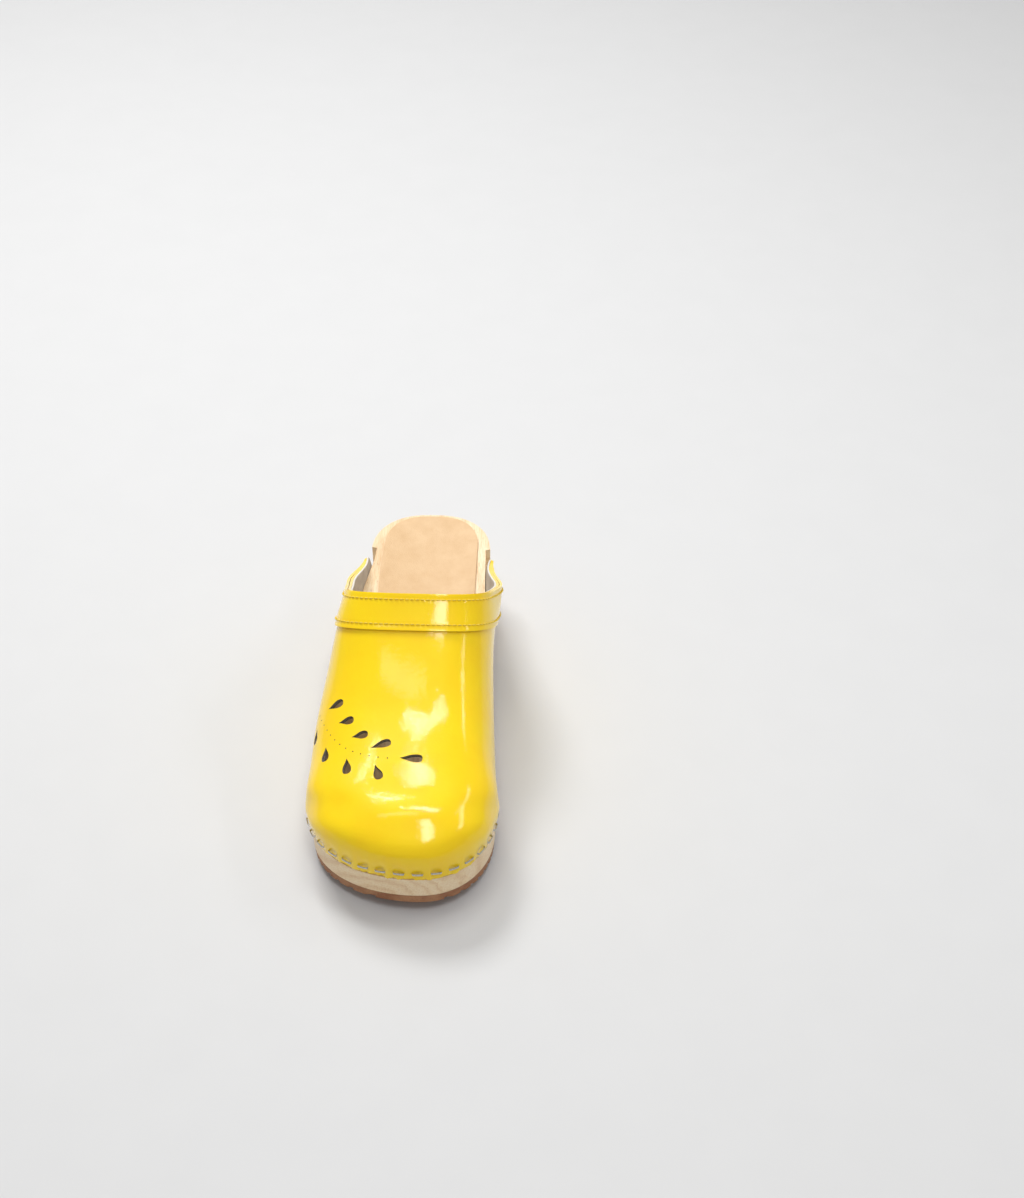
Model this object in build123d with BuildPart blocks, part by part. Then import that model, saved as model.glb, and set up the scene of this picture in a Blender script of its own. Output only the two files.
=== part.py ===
"""A wooden clog for the right foot: a carved sole, a stapled leather upper and rubber treads.

The toe points to -Y and the heel to +Y, the big-toe side is +X, and the floor is z = 0.
Sizes are millimetres.
"""

from build123d import *
import math
import os

# The sole in plan. Half widths are measured from the line through the heel's middle.
sole_length = 255.0
heel_half_width = 34.0
heel_rounding = 38.0  # the stretch in which the heel rounds off
heel_squareness = 2.5  # 2 is an ellipse, more is squarer
ball_half_lateral = 49.5  # little-toe side
ball_half_medial = 43.8  # big-toe side
ball_from_heel = 182.5
toe_rounding = 47.6
toe_squareness = 2.1
toe_tip_x = 6.8

# The sole from the side
tread_thickness = 5.4
ball_rim_height = 28.5  # floor to the wood's top edge at the ball
heel_rim_rise = 20.0
rim_rise_start = -35.0
rim_rise_length = 150.0
toe_spring = 8.5
toe_spring_start = -30.0
footbed_dish = [(-127.0, 0.6), (-95.0, 2.2), (-40.0, 3.4), (30.0, 3.8), (95.0, 4.6), (127.0, 1.4)]
arch_front = 2.0
arch_height = 19.5
arch_fullness = 0.42
heel_breast_top = 50.0
heel_breast_foot = 60.0
arch_corner = 5.0

# Treads
tread_inset = 0.4
tread_rear = -4.0
groove_pitch = 5.0
groove_width = 2.0
groove_depth = 1.2

# The rebate that the upper is stapled into
rebate_height = 11.0
step_from_heel = 30.0
upper_from_heel = 37.0

# Upper
leather_thickness = 1.4
lining_thickness = 1.0
stiffener_thickness = 0.6
band_thickness = 1.5
band_width = 18.5
fit_gap = 0.05
rebate_gap = 0.25  # between the lining and the wood
toe_box_height = 58.5  # floor to the ridge behind the toe's rounding
toe_box_length = 70.0
toe_box_squareness = 2.25
instep_height = 95.0
instep_y = 5.5
instep_rise_start = -100.0
instep_rise_power = 2.25
collar_ridge_x = 3.0
stiffener_length = 42.0
arch_squareness = [(-110.0, 2.3), (-50.0, 2.5), (10.0, 3.2)]
swell_power = [(-90.0, 0.7), (10.0, 1.3)]
swell_lateral = [
    (-127.5, 0.0), (-100.0, 2.2), (-70.0, 2.2), (-42.0, 2.8), (-14.0, 0.8),
    (18.0, -3.0), (36.0, -3.0), (58.0, 1.5), (92.0, 0.0),
]
swell_medial = [
    (-127.5, 0.0), (-100.0, 2.0), (-60.0, 1.0), (-30.0, 1.4), (10.0, 2.0),
    (36.0, 6.0), (60.0, 6.0), (92.0, 0.0),
]
topline = [(-14.0, 110.0), (5.0, 95.0), (28.0, 78.5), (52.0, 63.8), (77.0, 51.0), (100.0, 41.5)]

# Staples and stitches
staple_pitch = 9.2
staple_crown = 5.6
staple_wire = 0.9
staple_leg = 4.5  # the part of it that is in the wood
crown_gap = 0.15  # between the crown and the leather
staple_rise = 4.6  # above the leather's lower edge
stitch_pitch = 2.7
stitch_length = 2.0
thread_radius = 0.28
stitch_margin = 3.0

# Cut-outs, each from its point to its round end, and the pricked stem between them
leaf_width = 4.6
leaf_fullest = 0.68  # how far along its length a leaf is widest
leaves = [
    ((-43.0, -40.7), (-35.0, -40.7)),
    ((-36.5, -52.0), (-28.5, -52.5)),
    ((-29.0, -62.5), (-20.5, -62.0)),
    ((-18.5, -70.5), (-8.5, -67.5)),
    ((-3.5, -77.0), (8.0, -77.3)),
    ((-48.8, -46.5), (-49.8, -54.5)),
    ((-42.3, -63.0), (-42.0, -72.0)),
    ((-30.3, -74.5), (-29.3, -84.0)),
    ((-15.5, -80.5), (-12.5, -89.0)),
]
stem = [(-48.0, -39.5), (-41.5, -55.0), (-31.0, -68.5), (-19.0, -75.0), (-9.5, -77.0)]
stem_holes = 13
stem_hole_radius = 0.35

# Heel pad
pad_thickness = 1.2
pad_front_y = 52.0
pad_inset = 7.0
pad_back_shift = 4.5  # the pad reaches nearer to the heel's back than to its sides
pad_width = 54.0
pad_x = -0.6
pad_corner = 14.0

toe_y = -sole_length / 2
heel_y = sole_length / 2
heel_start_y = heel_y - heel_rounding
toe_start_y = toe_y + toe_rounding
ball_y = heel_y - ball_from_heel
step_y = heel_y - step_from_heel
upper_end_y = heel_y - upper_from_heel
upper_thickness = leather_thickness + lining_thickness
beyond = 200.0  # past the whole clog, for cutting
front_y = toe_y - 30.0


def eased(points, y):
    """A value at y that runs smoothly through the given (y, value) points."""
    if y <= points[0][0]:
        return points[0][1]
    for (start, before), (end, after) in zip(points, points[1:]):
        if y < end:
            share = (y - start) / (end - start)
            return before + (after - before) * share**2 * (3 - 2 * share)
    return points[-1][1]


def rounding(distance, length, squareness):
    """A superellipse's height, 1 at distance 0 and 0 at distance = length."""
    share = round(min(max(distance / length, 0.0), 1.0), 9)
    return (1 - share**squareness) ** (1 / squareness)


def edge_x(y, medial):
    """The plan outline's x at y, on the big-toe side or the little-toe side."""
    if medial:
        share = min(max((heel_start_y - y) / (heel_start_y - toe_start_y), 0), 1)
        x = heel_half_width + (ball_half_medial - heel_half_width) * share**1.25
    else:
        share = min(max((y - ball_y) / (heel_start_y - ball_y), 0), 1)
        x = -ball_half_lateral + (ball_half_lateral - heel_half_width) * share**2
    if y > heel_start_y:
        return x * rounding(y - heel_start_y, heel_rounding, heel_squareness)
    return toe_tip_x + (x - toe_tip_x) * rounding(toe_start_y - y, toe_rounding, toe_squareness)


def toe_rise(y):
    """How far the toe spring lifts the sole at y."""
    share = max(toe_spring_start - y, 0) / (toe_spring_start - toe_y)
    return toe_spring * share**2


def rim_height(y):
    """Height of the wood's top edge."""
    share = min(max((y - rim_rise_start) / rim_rise_length, 0), 1)
    return ball_rim_height + toe_rise(y) + heel_rim_rise * (3 - 2 * share) * share**2


def rebate_floor(y):
    """Height of the ledge that the upper's lower edge meets."""
    return rim_height(y) - rebate_height


def ridge_height(y):
    """Height of the upper's ridge, from the toe over the vamp to the instep and on."""
    base = rim_height(toe_y)
    box = rounding(toe_y + toe_box_length - y, toe_box_length, toe_box_squareness)
    run = max(y - instep_rise_start, 0) / (instep_y - instep_rise_start)
    return base + (toe_box_height - base) * box + (instep_height - toe_box_height) * run**instep_rise_power


def ridge_x(y):
    share = min(max((y - toe_y) / (instep_y - toe_y), 0), 1)
    return toe_tip_x + (collar_ridge_x - toe_tip_x) * share


def shifted(profile, y, inset):
    """The height at y of a profile that is moved inwards by inset, at right angles to itself."""
    if inset == 0:
        return profile(y)
    steps = [inset * n / 4 for n in range(-4, 5)]
    drops = [math.copysign(math.sqrt(inset**2 - step**2), inset) for step in steps]
    heights = [profile(y + step) - drop for step, drop in zip(steps, drops)]
    return min(heights) if inset > 0 else max(heights)


def upper_x(y, z, medial, inset):
    """The upper's x at y and z, on a surface that lies inset inside the leather's outer face."""
    rim = rim_height(y)
    low = rebate_floor(y)
    top = shifted(ridge_height, y, inset)
    half = shifted(lambda v: abs(edge_x(v, medial) - ridge_x(v)), y, inset)
    arch = rounding(z - rim, top - rim, eased(arch_squareness, y))
    share = min(max((z - low) / (top - low), 0), 1)
    swell = eased(swell_medial if medial else swell_lateral, y)
    half = max(half * arch + swell * math.sin(math.pi * share ** eased(swell_power, y)), 0)
    return ridge_x(y) + (half if medial else -half)


def is_inside(x, y, z, inset):
    if y <= toe_y + inset or z >= shifted(ridge_height, y, inset):
        return False
    medial = x > ridge_x(y)
    edge = upper_x(y, z, medial, inset)
    return x < edge if medial else x > edge


def farthest(test, limit):
    """The largest distance up to limit for which the test still holds."""
    low, high = 0.0, limit
    for _ in range(36):
        middle = (low + high) / 2
        if test(middle):
            low = middle
        else:
            high = middle
    return low


def upper_z(x, y, inset=0.0):
    return farthest(lambda z: is_inside(x, y, z, inset), beyond)


def upper_plane(start, end):
    """A plane on the leather's outer face at start, with its x axis towards end."""
    x, y = start
    step = 0.5
    here = Vector(x, y, upper_z(x, y))
    across = Vector(x + step, y, upper_z(x + step, y)) - Vector(x - step, y, upper_z(x - step, y))
    along = Vector(x, y + step, upper_z(x, y + step)) - Vector(x, y - step, upper_z(x, y - step))
    heading = Vector(*end, upper_z(*end)) - here
    normal = across.cross(along).normalized()
    return Plane(origin=here, x_dir=heading - normal * heading.dot(normal), z_dir=normal)


def sole_outline(inset=0.0, count=24):
    """The sole's plan outline, moved inwards by inset: one curve round the heel and one round the toe."""
    ys = [toe_y + sole_length * (1 - math.cos(math.pi * n / count)) / 2 for n in range(count + 1)]
    ring = [Vector(edge_x(y, True), y) for y in ys] + [Vector(edge_x(y, False), y) for y in ys[-2:0:-1]]
    points = []
    for n, point in enumerate(ring):
        along = (ring[(n + 1) % len(ring)] - ring[n - 1]).normalized()
        points.append(point + Vector(-along.Y, along.X) * inset)
    waist = count // 2
    with BuildSketch() as outline:
        with BuildLine():
            Spline(*points[waist : waist + count + 1])
            Spline(*points[waist + count :], *points[: waist + 1])
        make_face()
    return outline.sketch


def side_profile(height, start, end, count=14):
    """Points (y, height) of a curve in the side view."""
    ys = [start + (end - start) * n / count for n in range(count + 1)]
    return [(y, height(y)) for y in ys]


# Shared shapes

def footbed_section(y):
    """The space above the footbed at y: its lower edge is a shallow arc across the clog."""
    half = max(edge_x(y, True) - edge_x(y, False), 2 * heel_half_width) / 2
    dish = eased(footbed_dish, y)
    radius = (half**2 + dish**2) / (2 * dish)
    bottom = rim_height(y) - dish
    side = bottom + radius - math.sqrt(radius**2 - footbed_reach**2)
    with BuildSketch(Plane(origin=(0, y, 0), x_dir=(1, 0, 0), z_dir=(0, -1, 0))) as section:
        with BuildLine():
            ThreePointArc((-footbed_reach, side), (0, bottom), (footbed_reach, side))
            Line((footbed_reach, side), (footbed_reach, beyond))
            Line((footbed_reach, beyond), (-footbed_reach, beyond))
            Line((-footbed_reach, beyond), (-footbed_reach, side))
        make_face()
    return section.sketch.face().outer_wire()


def dome(inset):
    """The upper's closed outer form, moved inwards by inset: arches on sloping planes y + z = c."""
    arches = []
    for c in dome_planes:
        base_z = eased(dome_bases, c)
        base_y = c - base_z
        middle_x = ridge_x(base_y)

        def covers(angle, reach):
            up = reach * math.sin(angle) * math.sqrt(0.5)
            return is_inside(middle_x + reach * math.cos(angle), base_y - up, base_z + up, inset)

        tallest = farthest(lambda reach: covers(math.pi / 2, reach), beyond)
        widest = farthest(lambda reach: covers(0, reach), beyond)
        hits = []
        for n in range(dome_points):
            turn = math.pi * (1 - n / (dome_points - 1))
            angle = math.atan2(tallest * math.sin(turn), widest * math.cos(turn))
            reach = farthest(lambda distance: covers(angle, distance), beyond)
            hits.append((middle_x + reach * math.cos(angle), reach * math.sin(angle)))
        plane = Plane(origin=(0, base_y, base_z), x_dir=(1, 0, 0), z_dir=(0, -1, -1))
        with BuildSketch(plane) as arch:
            with BuildLine():
                Spline(*hits)
                Line(hits[-1], hits[0])
            make_face()
        arches.append(arch.sketch.face().outer_wire())
    return Solid.make_loft(arches)


def side_zone(points, height):
    """Everything across the clog between a side-view curve, carried on forwards, and a height."""
    rear = points[-1][0]
    with BuildPart() as zone:
        with BuildSketch(Plane.YZ.offset(-beyond / 2)):
            with BuildLine():
                Spline(*points)
                Polyline(points[-1], (rear, height), (front_y, height), (front_y, points[0][1]), points[0])
            make_face()
        extrude(amount=beyond)
    return zone.part


def toe_spring_curve(height):
    """Side-view points at a height above the line that the treads stand on, and the end tangents."""
    points = side_profile(lambda y: toe_rise(y) + height, toe_y - 10, toe_spring_start, 8)
    slope = (toe_rise(points[0][0] + 0.01) - toe_rise(points[0][0])) / 0.01
    return points, [(1, slope), (1, 0)]


def tread_zone(low, high):
    """Everything across the clog from low to high above the line that the treads stand on."""
    with BuildPart() as zone:
        with BuildSketch(Plane.YZ.offset(-beyond / 2)):
            with BuildLine():
                lower, tangents = toe_spring_curve(low)
                upper = toe_spring_curve(high)[0]
                Spline(*lower, tangents=tangents)
                Spline(*upper, tangents=tangents)
                Polyline(lower[-1], (heel_y + 10, low), (heel_y + 10, high), upper[-1])
                Line(lower[0], upper[0])
            make_face()
        extrude(amount=beyond)
    return zone.part


topline_curve = Edge.make_spline([Vector(y, z) for y, z in topline])


def below_topline(distance, count=16):
    """Side-view points of the curve that runs at a distance below the topline."""
    points = []
    for n in range(count + 1):
        here = topline_curve.position_at(n / count)
        along = topline_curve.tangent_at(n / count)
        points.append((here.X + distance * along.Y, here.Y - distance * along.X))
    return points


footbed_reach = 70.0
footbed_stations = [toe_y - 12, -110.0, -80.0, -45.0, -10.0, 25.0, 60.0, 90.0, heel_y - 8, heel_y + 12]
above_footbed = Solid.make_loft([footbed_section(y) for y in footbed_stations])

dome_planes = [
    -120.0, -112.0, -104.0, -96.0, -87.0, -76.0, -62.0, -45.0, -25.0, 0.0, 28.0, 58.0, 90.0, 125.0, 150.0,
]
dome_bases = [(-120.0, -45.0), (150.0, 8.0)]
dome_points = 27

with BuildPart() as upper_zone:
    add(side_zone(below_topline(0), -beyond))
    add(side_zone(side_profile(lambda y: rebate_floor(y) + fit_gap, toe_y - 10, upper_end_y), beyond),
        mode=Mode.INTERSECT)

with BuildPart() as collar_zone:
    add(upper_zone.part)
    add(side_zone(below_topline(band_width), -beyond), mode=Mode.SUBTRACT)


# The upper's layers, whole, before anything pierces them

band_face = dome(-band_thickness)
leather_face = dome(0)
leather_back = dome(leather_thickness)
stiffener_back = dome(leather_thickness + stiffener_thickness)
lining_back = dome(upper_thickness)


def layer(outer, inner, zone):
    """A layer of the upper, between two domes."""
    with BuildPart() as shell:
        add(outer)
        add(zone, mode=Mode.INTERSECT)
        add(inner, mode=Mode.SUBTRACT)
    return shell.part


def staple_places():
    """Places along the upper's lower edge: a point, the way the edge runs, and the layers' depth."""
    hem = []
    for medial in (False, True):
        ys = [toe_y + (upper_end_y - toe_y) * (n / 120) ** 2 for n in range(1, 121)]
        side = []
        for y in ys:
            z = rebate_floor(y) + staple_rise
            cover = band_thickness if z > band_lower_height(y) else 0
            side.append((Vector(upper_x(y, z, medial, -cover), y, z), upper_thickness + cover))
        hem = hem + side if medial else side[::-1]
    distances = [0.0]
    for before, after in zip(hem, hem[1:]):
        distances.append(distances[-1] + (after[0] - before[0]).length)
    count = round(distances[-1] / staple_pitch) - 1
    places = []
    for n in range(1, count + 1):
        reach = distances[-1] * n / (count + 1)
        k = next(k for k, distance in enumerate(distances) if distance >= reach)
        share = (reach - distances[k - 1]) / (distances[k] - distances[k - 1])
        along = hem[k][0] - hem[k - 1][0]
        places.append((hem[k - 1][0] + along * share, along, hem[k][1]))
    return places


def band_lower_height(y):
    """Height of the collar band's lower edge at y, in the side view."""
    points = below_topline(band_width)
    for (start, before), (end, after) in zip(points, points[1:]):
        if start <= y <= end:
            return before + (after - before) * (y - start) / (end - start)
    return beyond


# Staples: a crown on the upper and two legs in the wood

crown_planes = []
leg_planes = []
for place, along, depth in staple_places():
    outward = along.cross(Vector(0, 0, 1)).normalized()
    crown_planes.append(Plane(origin=place + outward * crown_gap, x_dir=along, z_dir=outward))
    leg_planes.append(Plane(origin=place - outward * (depth + crown_gap), x_dir=along, z_dir=outward))

with BuildPart() as staple_legs:
    with Locations(*leg_planes):
        with GridLocations(staple_crown - staple_wire, 1, 2, 1):
            leg_align = (Align.CENTER, Align.CENTER, Align.MAX)
            Box(staple_wire, staple_wire, staple_leg, align=leg_align)

with BuildPart() as staples:
    add(staple_legs.part)
    with Locations(*crown_planes):
        Box(staple_crown, staple_wire, staple_wire, align=(Align.CENTER, Align.CENTER, Align.MIN))
staples.part.label = "staples"

# Wooden sole

with BuildPart() as rebate:
    add(side_zone(side_profile(rebate_floor, toe_y - 10, step_y), beyond))
    with BuildSketch():
        add(sole_outline(upper_thickness + rebate_gap))
    extrude(amount=beyond, mode=Mode.SUBTRACT)

with BuildPart() as under_side:
    with BuildSketch(Plane.YZ.offset(-beyond / 2)):
        with BuildLine():
            spring, tangents = toe_spring_curve(tread_thickness)
            middle_y = (arch_front + heel_breast_top) / 2
            middle_z = tread_thickness + arch_fullness * (arch_height - tread_thickness)
            arch_start = (arch_front, tread_thickness)
            arch_end = (heel_breast_top - arch_corner, arch_height)
            breast_top = (heel_breast_top, arch_height - arch_corner)
            Spline(*spring, tangents=tangents)
            Line(spring[-1], arch_start)
            Spline(arch_start, (middle_y, middle_z), arch_end, tangents=[(1, 0), (1, 0)])
            TangentArc(arch_end, breast_top, tangent=(1, 0))
            Polyline(
                breast_top,
                (heel_breast_foot, tread_thickness),
                (heel_y + 10, tread_thickness),
                (heel_y + 10, -beyond),
                (spring[0][0], -beyond),
                spring[0],
            )
        make_face()
    extrude(amount=beyond)

with BuildPart() as wooden_sole:
    with BuildSketch():
        add(sole_outline())
    extrude(amount=beyond / 2)
    add(under_side.part, mode=Mode.SUBTRACT)
    add(above_footbed, mode=Mode.SUBTRACT)
    add(rebate.part, mode=Mode.SUBTRACT)
    add(staple_legs.part, mode=Mode.SUBTRACT)
wooden_sole.part.label = "wooden_sole"

# Heel pad

with BuildPart() as heel_pad:
    with BuildSketch():
        with Locations((0, pad_back_shift)):
            add(sole_outline(pad_inset))
        pad_length = heel_y - pad_front_y + pad_corner
        with Locations((pad_x, pad_front_y + pad_length / 2)):
            RectangleRounded(pad_width, pad_length, pad_corner, mode=Mode.INTERSECT)
    extrude(amount=beyond / 2)
    add(above_footbed.moved(Pos(0, 0, fit_gap)), mode=Mode.INTERSECT)
    add(above_footbed.moved(Pos(0, 0, fit_gap + pad_thickness)), mode=Mode.SUBTRACT)
heel_pad.part.label = "heel_pad"


# Rubber treads

def tread(start, end):
    """A tread under the wood from start to end, which follows the toe spring, with grooves across."""
    with BuildPart() as grooves:
        with BuildSketch(Plane.XY.offset(-groove_pitch)):
            with Locations((0, (start + end) / 2)):
                with GridLocations(1, groove_pitch, 1, int((end - start) / groove_pitch)):
                    Rectangle(beyond, groove_width)
        extrude(amount=beyond / 2)
        add(tread_zone(-groove_pitch, groove_depth), mode=Mode.INTERSECT)
    with BuildPart() as rubber:
        with BuildSketch(Plane.XY.offset(-groove_pitch)):
            add(sole_outline(tread_inset))
            with Locations((0, (start + end) / 2)):
                Rectangle(beyond, end - start, mode=Mode.INTERSECT)
        extrude(amount=beyond / 2)
        add(tread_zone(0, tread_thickness - fit_gap), mode=Mode.INTERSECT)
        add(grooves.part, mode=Mode.SUBTRACT)
    return rubber.part


heel_tread = tread(heel_breast_foot + tread_inset, heel_y)
heel_tread.label = "heel_tread"
forefoot_tread = tread(toe_y, tread_rear)
forefoot_tread.label = "forefoot_tread"

# Cut-outs through leather and lining

with BuildPart() as piercings:
    for start, end in leaves:
        plane = upper_plane(start, end)
        length = (Vector(*end, upper_z(*end)) - plane.origin).length
        with BuildSketch(plane):
            with BuildLine():
                widest = (leaf_fullest * length, leaf_width / 2)
                Spline((0, 0), widest, (length, 0), tangents=[(1, 0.3), (0, -1)])
                mirror(about=Plane.XZ)
            make_face()
        extrude(amount=2 * upper_thickness, both=True)
    stem_line = Edge.make_spline([Vector(x, y) for x, y in stem])
    for n in range(stem_holes):
        hole = stem_line.position_at(n / (stem_holes - 1))
        with Locations(upper_plane((hole.X, hole.Y), (hole.X + 1, hole.Y))):
            Cylinder(stem_hole_radius, 4 * upper_thickness)

# The upper

with BuildPart() as vamp_leather:
    add(layer(leather_face, leather_back, upper_zone.part))
    add(piercings.part, mode=Mode.SUBTRACT)
vamp_leather.part.label = "vamp_leather"

with BuildPart() as toe_zone:
    add(upper_zone.part)
    with Locations((0, toe_y + stiffener_length, 0)):
        Box(beyond, beyond, beyond, align=(Align.CENTER, Align.MAX, Align.CENTER), mode=Mode.INTERSECT)

with BuildPart() as toe_stiffener:
    add(layer(leather_back, stiffener_back, toe_zone.part))
    add(piercings.part, mode=Mode.SUBTRACT)
toe_stiffener.part.label = "toe_stiffener"

with BuildPart() as rear_zone:
    add(upper_zone.part)
    add(toe_zone.part, mode=Mode.SUBTRACT)

with BuildPart() as vamp_lining:
    add(layer(stiffener_back, lining_back, toe_zone.part))
    add(layer(leather_back, lining_back, rear_zone.part))
    add(piercings.part, mode=Mode.SUBTRACT)
vamp_lining.part.label = "vamp_lining"

with BuildPart() as collar_band:
    add(layer(band_face, leather_face, collar_zone.part))
collar_band.part.label = "collar_band"


def stitching(distance):
    """A row of stitches on the collar band, at a distance below the topline."""
    with BuildPart() as strip:
        add(collar_band.part)
        add(side_zone(below_topline(distance), -beyond), mode=Mode.INTERSECT)
    rims = strip.edges().filter_by(lambda edge: edge.length > sole_length / 2)
    row = rims.sort_by(lambda edge: edge.position_at(0.5).Z)[-2:].sort_by(SortBy.LENGTH)[-1]
    face = strip.faces().sort_by(SortBy.AREA)[-1]
    count = int((row.length - 2 * stitch_margin) / stitch_pitch)
    with BuildPart() as thread:
        for n in range(count):
            share = (stitch_margin + stitch_pitch * (n + 0.5)) / row.length
            place = row.position_at(share)
            lift = face.normal_at(place) * thread_radius
            with Locations(Plane(origin=place + lift, x_dir=lift, z_dir=row.tangent_at(share))):
                Cylinder(thread_radius, stitch_length)
    return thread.part


stitching_upper = stitching(stitch_margin)
stitching_upper.label = "stitching_upper"
stitching_lower = stitching(band_width - stitch_margin)
stitching_lower.label = "stitching_lower"

pieces = [
    wooden_sole.part,
    heel_tread,
    forefoot_tread,
    heel_pad.part,
    vamp_leather.part,
    vamp_lining.part,
    toe_stiffener.part,
    collar_band.part,
    stitching_upper,
    stitching_lower,
    staples.part,
]

# The clog stands with the middle of its bounding box over the origin.
middle = Compound(pieces).bounding_box().center()
os.makedirs("parts", exist_ok=True)
for piece in pieces:
    piece.move(Pos(-middle.X, -middle.Y))
    export_step(piece, f"parts/{piece.label}.step")
    print(piece.label, len(piece.solids()), round(piece.volume), piece.is_valid)
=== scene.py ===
import math
import random

import bmesh
import bpy
import numpy as np
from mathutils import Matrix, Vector
from mathutils.bvhtree import BVHTree


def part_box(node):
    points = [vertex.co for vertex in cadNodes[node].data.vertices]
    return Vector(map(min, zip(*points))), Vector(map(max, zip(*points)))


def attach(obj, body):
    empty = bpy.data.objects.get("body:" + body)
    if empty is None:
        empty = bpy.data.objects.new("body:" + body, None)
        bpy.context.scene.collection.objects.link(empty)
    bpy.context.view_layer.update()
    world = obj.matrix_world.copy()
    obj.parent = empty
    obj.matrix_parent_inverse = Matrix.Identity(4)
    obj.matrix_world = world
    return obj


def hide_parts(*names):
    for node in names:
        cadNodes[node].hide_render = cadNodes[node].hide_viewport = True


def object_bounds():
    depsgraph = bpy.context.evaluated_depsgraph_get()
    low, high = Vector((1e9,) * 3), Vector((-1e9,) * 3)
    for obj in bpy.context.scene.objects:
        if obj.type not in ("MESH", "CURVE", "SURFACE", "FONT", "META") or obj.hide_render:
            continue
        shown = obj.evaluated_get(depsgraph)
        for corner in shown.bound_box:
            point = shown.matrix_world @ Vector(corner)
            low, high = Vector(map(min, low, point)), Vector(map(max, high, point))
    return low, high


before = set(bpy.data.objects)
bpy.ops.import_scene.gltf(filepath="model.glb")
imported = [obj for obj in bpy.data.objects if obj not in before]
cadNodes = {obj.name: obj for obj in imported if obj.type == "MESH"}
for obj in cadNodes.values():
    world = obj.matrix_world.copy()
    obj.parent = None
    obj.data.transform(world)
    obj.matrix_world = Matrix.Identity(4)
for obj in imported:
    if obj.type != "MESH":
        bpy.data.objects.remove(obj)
cadLow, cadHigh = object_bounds()
random.seed(31)
noiseMaker = np.random.default_rng(31)
print("frame loaded")


def hexColour(code):
    parts = [int(code[n:n + 2], 16) / 255 for n in (0, 2, 4)]
    linear = [p / 12.92 if p <= 0.04045 else ((p + 0.055) / 1.055) ** 2.4 for p in parts]
    return (*linear, 1.0)


def selectOnly(obj):
    bpy.ops.object.select_all(action="DESELECT")
    obj.select_set(True)
    bpy.context.view_layer.objects.active = obj


def applyModifier(obj, kind, **settings):
    selectOnly(obj)
    modifier = obj.modifiers.new(kind.title(), kind)
    for key, value in settings.items():
        setattr(modifier, key, value)
    bpy.ops.object.modifier_apply(modifier=modifier.name)


def breakEdges(obj, width, segments, sharperThan):
    angle = math.radians(sharperThan)
    applyModifier(obj, "BEVEL", width=width, segments=segments, limit_method="ANGLE", angle_limit=angle)


def shadeByAngle(obj, degrees):
    selectOnly(obj)
    bpy.ops.object.shade_smooth_by_angle(angle=math.radians(degrees))


def linked(name, data):
    obj = bpy.data.objects.new(name, data)
    bpy.context.scene.collection.objects.link(obj)
    return obj


# For surfaces that follow measured points, which no primitive can be shaped to
def meshObject(name, vertices, faces, materials):
    mesh = bpy.data.meshes.new(name)
    mesh.from_pydata([tuple(v) for v in vertices], [], faces)
    mesh.update()
    for material in materials:
        mesh.materials.append(material)
    return linked(name, mesh)


def place(obj, slotName, *replaced):
    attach(obj, "root")
    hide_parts(*replaced)


def setSockets(tree, node, sockets):
    for key, value in sockets.items():
        if isinstance(value, bpy.types.NodeSocket):
            tree.links.new(value, node.inputs[key])
        else:
            node.inputs[key].default_value = value


# Stops are a colour ramp's, each with a place and either a hex colour or a grey value
def addNode(tree, kind, sockets, output=0, stops=(), **settings):
    node = tree.nodes.new("ShaderNode" + kind)
    for key, value in settings.items():
        setattr(node, key, value)
    setSockets(tree, node, sockets)
    for n, (position, colour) in enumerate(stops):
        elements = node.color_ramp.elements
        element = elements[n] if n < len(elements) else elements.new(position)
        element.position = position
        element.color = hexColour(colour) if isinstance(colour, str) else (colour, colour, colour, 1)
    return node.outputs[output]


def newMaterial(name):
    material = bpy.data.materials.new(name)
    material.use_nodes = True
    tree = material.node_tree
    return material, tree, tree.nodes["Principled BSDF"], addNode(tree, "TexCoord", {}, "Object")


def perMetre(millimetres):  # the scale at which noise and cells have this size
    return 1000 / millimetres


def wavesEvery(millimetres):  # waves at scale 1 repeat every pi / 10 metres
    return 100 * math.pi / millimetres


# Patent leather, hide under a poured polyurethane film: sharp highlights that break up a little in its fine
# orange peel and in pull wrinkles, over a flat and strong yellow
def patentLeather(base, shade):
    material, tree, shader, coordinates = newMaterial("patentLeather")
    patches = addNode(tree, "TexNoise", {
        "Vector": coordinates, "Scale": perMetre(16.667), "Detail": 3, "Roughness": 0.55,
    })
    patches = addNode(tree, "ValToRGB", {"Fac": patches}, stops=[(0.35, 0.0), (0.7, 1.0)])
    colour = addNode(tree, "Mix", {0: patches, 6: hexColour(base), 7: hexColour(shade)}, 2, data_type="RGBA")
    peel = addNode(tree, "TexNoise", {
        "Vector": coordinates, "Scale": perMetre(0.9091), "Detail": 2, "Roughness": 0.55,
    })
    wrinkles = addNode(tree, "TexNoise", {
        "Vector": coordinates, "Scale": perMetre(2.381), "Detail": 3, "Roughness": 0.6,
    })
    lumps = addNode(tree, "TexNoise", {
        "Vector": coordinates, "Scale": perMetre(22.222), "Detail": 1, "Roughness": 0.55,
    })
    relief = addNode(tree, "Bump", {"Height": peel, "Distance": 0.00005, "Strength": 0.5})
    relief = addNode(tree, "Bump", {
        "Height": wrinkles, "Distance": 0.00013, "Strength": 0.5, "Normal": relief,
    })
    relief = addNode(tree, "Bump", {"Height": lumps, "Distance": 0.0006, "Strength": 0.1, "Normal": relief})
    setSockets(tree, shader, {
        "Base Color": colour, "Normal": relief, "Coat Normal": relief, "Roughness": 0.4,
        "Specular IOR Level": 0.15, "Coat Weight": 1.0, "Coat Roughness": 0.015, "Coat IOR": 1.42,
    })
    return material


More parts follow.
